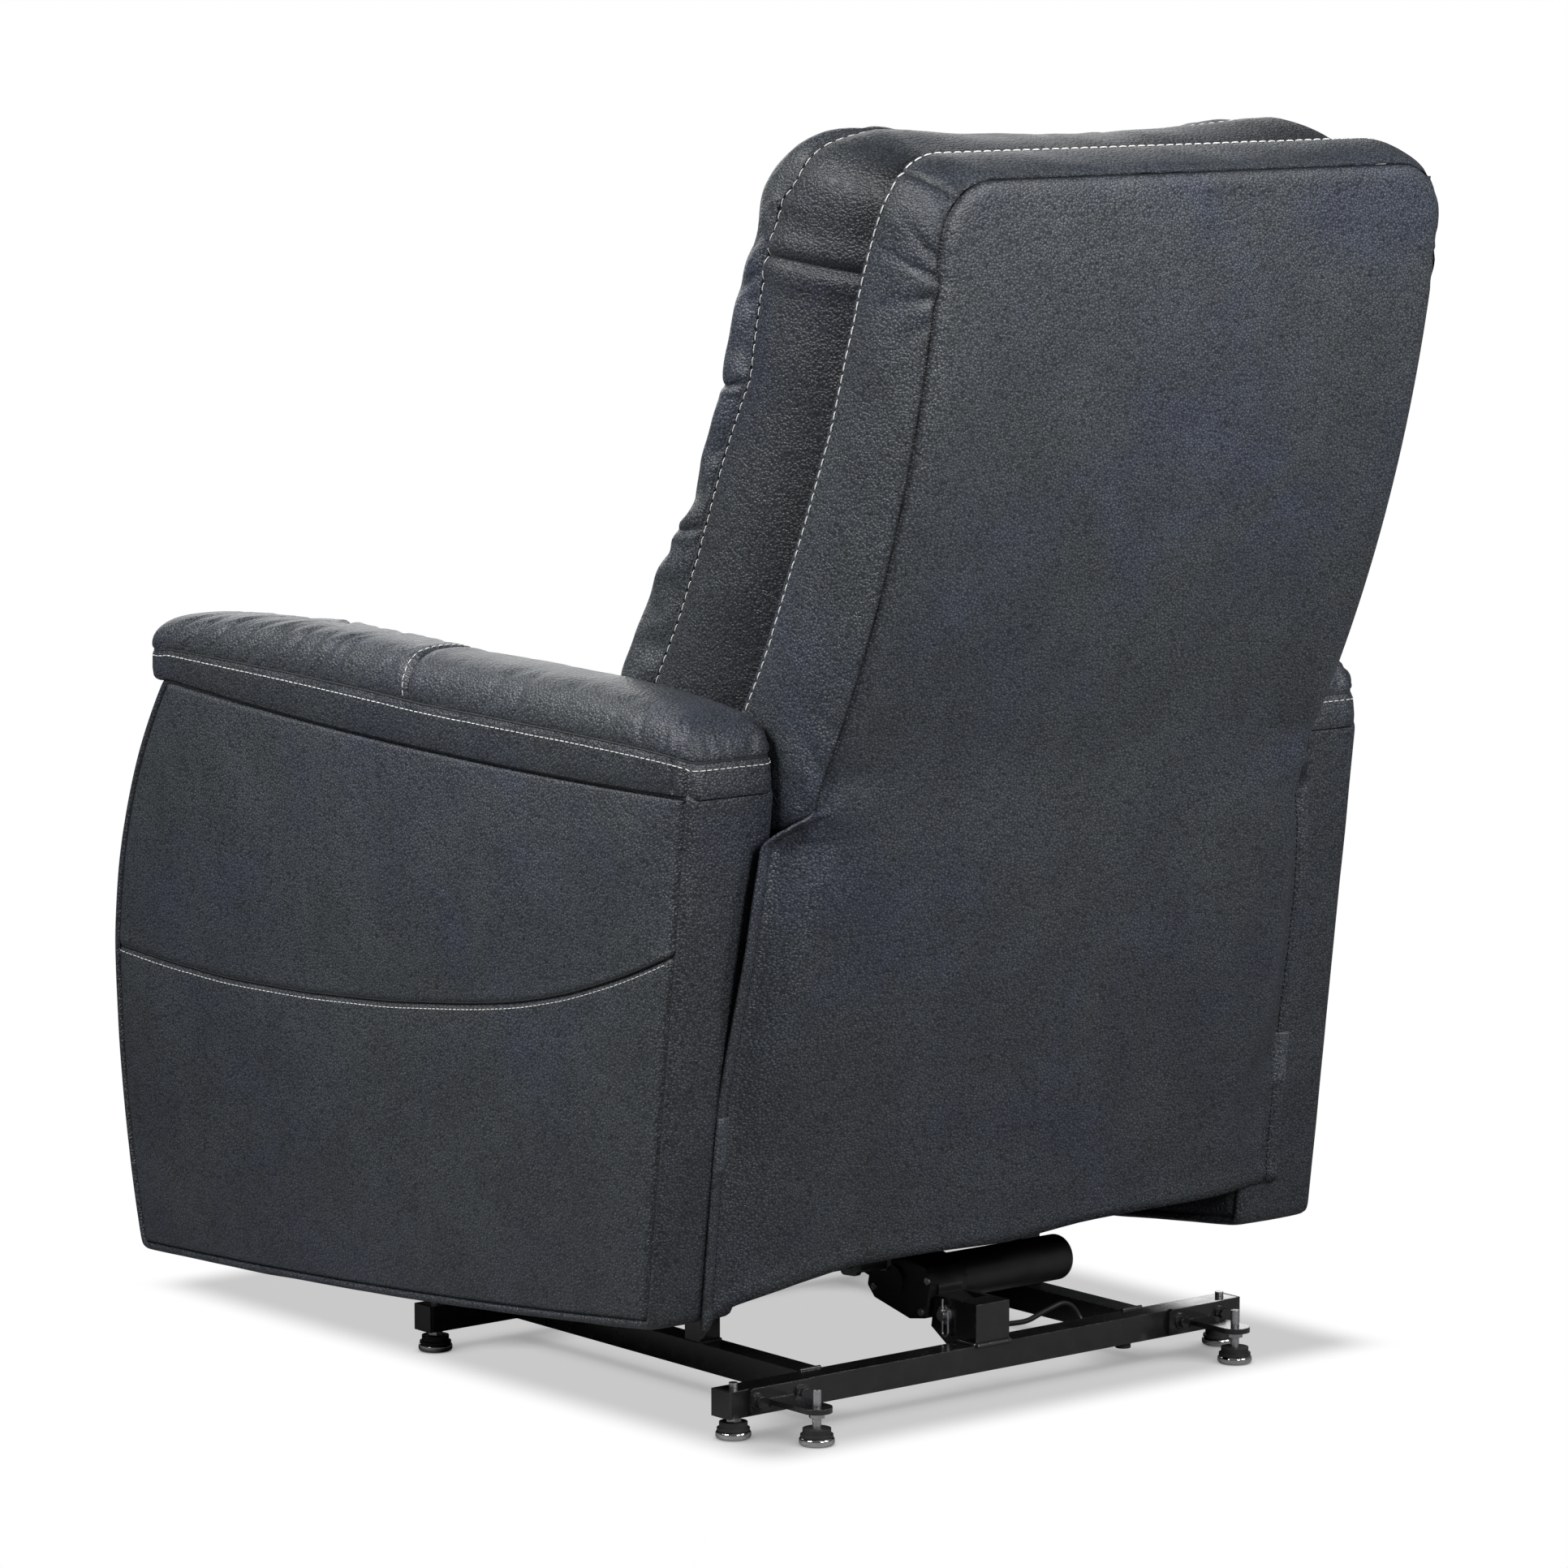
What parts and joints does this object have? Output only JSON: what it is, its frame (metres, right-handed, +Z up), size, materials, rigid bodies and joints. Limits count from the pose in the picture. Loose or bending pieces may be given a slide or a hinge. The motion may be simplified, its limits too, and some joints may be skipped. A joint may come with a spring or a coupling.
{
  "type": "lift recliner chair",
  "caption": "Powered lift recliner armchair in dark leather with padded arms, channelled back cushion, hanging rear skirt and a steel tube lift base on levelling feet.",
  "frame": {"origin": "middle of the chair's plan, at floor level", "axes": "+Z up, the chair faces -Y, +X is the sitter's left; at rest the chair is partly lifted, tilted forward"},
  "size_m": [0.8002, 1.1174, 1.1632],
  "materials": {
    "black_steel": "gloss black enamel",
    "zinc": "zinc plated",
    "bare_steel": "bright steel",
    "chrome_ring": "polished",
    "rubber": "matt black",
    "black_plastic": "fine textured black",
    "cord_sheath": "matt black",
    "board": "raw board",
    "webbing": "woven strap",
    "upholstery": "dark navy grey pebbled, satin",
    "cushion": "foam under dark navy grey pebbled leather",
    "button": "matt grey"
  },
  "bodies": {
    "base": {"base_rear_tube": "black_steel", "base_front_tube": "black_steel", "base_side_frames": "black_steel", "tube_end_caps": "black_plastic", "tube_bumper": "black_plastic", "landing_bumpers": "rubber", "actuator_bracket": "black_steel", "lead_glands": "black_plastic", "clevis_pin": "zinc", "clevis_clip": "zinc", "foot_stems": "zinc", "foot_rubbers": "rubber", "foot_rings": "chrome_ring", "antitip_bracket_left": "black_steel", "antitip_bracket_right": "black_steel", "bracket_bolts": "black_steel", "power_lead": "cord_sheath"},
    "lift_links": {"lift_links": "black_steel", "lift_torque_tube": "black_steel"},
    "guide_links": {"guide_links": "black_steel"},
    "lift_actuator": {"lift_gearbox": "black_plastic", "lift_gearbox_screws": "zinc", "lift_motor": "black_plastic", "lift_outer_tube": "black_plastic"},
    "lift_rod": {"lift_rod": "bare_steel"},
    "carriage": {"carriage_rails": "black_steel", "carriage_cross_rails": "black_steel", "link_hangers": "black_steel", "control_box": "black_plastic", "recline_clevis": "black_steel", "recline_gearbox": "black_plastic", "arm_cover_left": "upholstery", "arm_cover_right": "upholstery", "arm_frame_left": "board", "arm_frame_right": "board", "arm_pad_left": "cushion", "arm_pad_right": "cushion", "handset_cradle": "black_plastic", "handset_case": "black_plastic", "back_pivots": "black_steel", "seat_guides": "black_steel", "rear_skirt": "upholstery", "skirt_tabs": "black_plastic"},
    "back": {"back_shell": "upholstery", "back_frame": "black_steel", "back_cushion": "cushion"},
    "seat": {"seat_frame": "black_steel", "seat_webbing": "webbing", "seat_cushion": "cushion", "seat_glide_blocks": "black_plastic", "recline_rod": "bare_steel"},
    "footrest_link": {"footrest_links": "black_steel"},
    "footrest_arm": {"footrest_arms": "black_steel"},
    "ottoman": {"ottoman_brackets": "black_steel", "ottoman_board": "board", "ottoman_pad": "cushion"},
    "lift_up": {"lift_up_button": "button"},
    "lift_down": {"lift_down_button": "button"},
    "recline_open": {"recline_open_button": "button"},
    "recline_close": {"recline_close_button": "button"}
  },
  "joints": [
    {"name": "lift", "type": "hinge", "parent": "base", "child": "lift_links", "pos_m": [0, -0.12697, 0.08], "axis": [1, 0, 0], "range_deg": [-10.91, 46]},
    {"name": "carriage_tilt", "type": "hinge", "parent": "lift_links", "child": "carriage", "pos_m": [0, 0.12059, 0.11479], "axis": [1, 0, 0], "range_deg": [-28.29, 6.71]},
    {"name": "guide_swing", "type": "hinge", "parent": "base", "child": "guide_links", "pos_m": [0, -0.17197, 0.06], "axis": [1, 0, 0], "range_deg": [-12.4, 52.3]},
    {"name": "actuator_swing", "type": "hinge", "parent": "base", "child": "lift_actuator", "pos_m": [0, 0.24303, 0.067], "axis": [1, 0, 0], "range_deg": [-0.69, 2.9]},
    {"name": "actuator_stroke", "type": "slide", "parent": "lift_actuator", "child": "lift_rod", "axis": [0, -0.9744, 0.2247], "range_m": [-0.01244, 0.05212]},
    {"name": "back_recline", "type": "hinge", "parent": "carriage", "child": "back", "pos_m": [0, 0.25275, 0.34444], "axis": [1, 0, 0], "range_deg": [-35, 0], "deforming": ["rear_skirt"]},
    {"name": "seat_glide", "type": "slide", "parent": "carriage", "child": "seat", "axis": [0, -0.9978, 0.0663], "range_m": [0, 0.07346]},
    {"name": "footrest_swing", "type": "hinge", "parent": "seat", "child": "footrest_link", "pos_m": [0, -0.38979, 0.28723], "axis": [1, 0, 0], "range_deg": [-70, 0]},
    {"name": "footrest_knee", "type": "hinge", "parent": "footrest_link", "child": "footrest_arm", "pos_m": [0, -0.40899, 0.0982], "axis": [1, 0, 0], "range_deg": [0, 140]},
    {"name": "ottoman_turn", "type": "hinge", "parent": "footrest_arm", "child": "ottoman", "pos_m": [0, -0.4556, 0.2824], "axis": [1, 0, 0], "range_deg": [-155, 0]},
    {"name": "lift_up_press", "type": "slide", "parent": "carriage", "child": "lift_up", "axis": [1, 0, 0], "range_m": [0, 0.0015], "stiffness_N_per_m": 800},
    {"name": "lift_down_press", "type": "slide", "parent": "carriage", "child": "lift_down", "axis": [1, 0, 0], "range_m": [0, 0.0015], "stiffness_N_per_m": 800},
    {"name": "recline_open_press", "type": "slide", "parent": "carriage", "child": "recline_open", "axis": [1, 0, 0], "range_m": [0, 0.0015], "stiffness_N_per_m": 800},
    {"name": "recline_close_press", "type": "slide", "parent": "carriage", "child": "recline_close", "axis": [1, 0, 0], "range_m": [0, 0.0015], "stiffness_N_per_m": 800}
  ],
  "couplings": [
    {"joint": "carriage_tilt", "follows": "lift", "ratio": -0.615},
    {"joint": "guide_swing", "follows": "lift", "ratio": 1.137},
    {"joint": "actuator_swing", "follows": "lift", "ratio": 0.063},
    {"joint": "actuator_stroke", "follows": "lift", "m_per_rad": 0.064788},
    {"joint": "seat_glide", "follows": "back_recline", "m_per_rad": -0.1201},
    {"joint": "footrest_swing", "follows": "back_recline", "ratio": 2},
    {"joint": "footrest_knee", "follows": "back_recline", "ratio": -4},
    {"joint": "ottoman_turn", "follows": "back_recline", "ratio": 4.4286}
  ]
}
